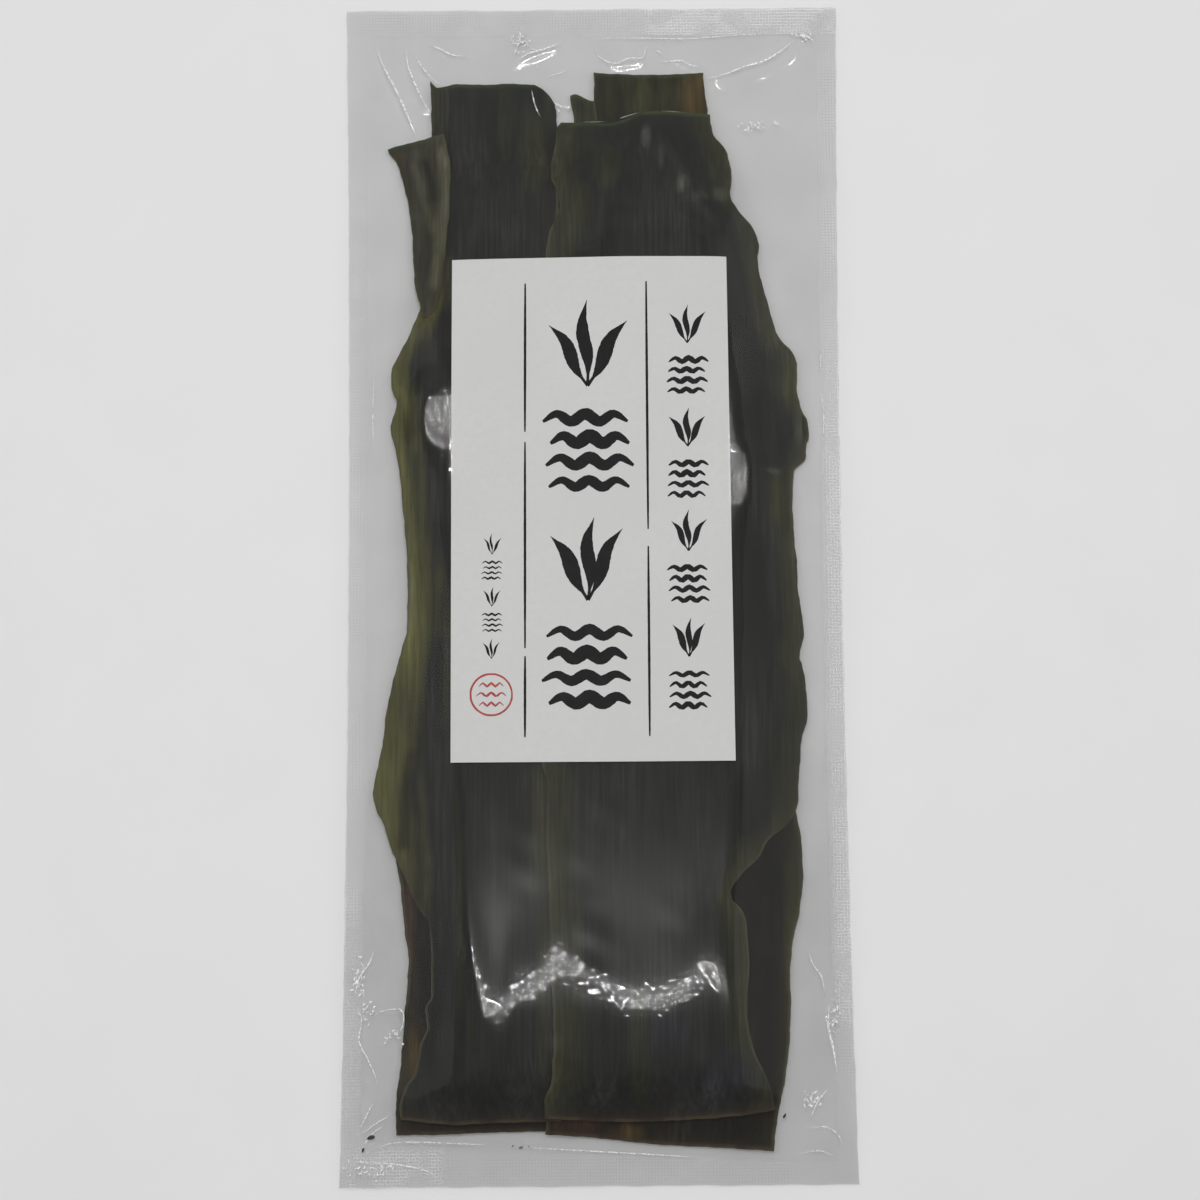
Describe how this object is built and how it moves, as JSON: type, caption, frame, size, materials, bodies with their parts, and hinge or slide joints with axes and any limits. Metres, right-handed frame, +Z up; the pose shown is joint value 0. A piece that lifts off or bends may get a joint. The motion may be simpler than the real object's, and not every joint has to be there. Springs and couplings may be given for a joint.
{
  "type": "pack of dried kelp sheets",
  "caption": "Clear flat pouch, sealed on all sides over a pile of long dried kelp sheets, with a plain paper label on its front; it lies flat on a table.",
  "frame": {"origin": "on the table under the middle of the pouch", "axes": "+X to the pack's right as its label faces up, +Y to its top end, +Z up through the pile's thickness"},
  "size_m": [0.153, 0.361, 0.0119],
  "materials": {
    "film_over_kelp": "clear glossy film over dark olive kelp",
    "label_paper": "matt off-white paper"
  },
  "bodies": {
    "root": {"bag": "film_over_kelp", "label": "label_paper"}
  },
  "joints": []
}
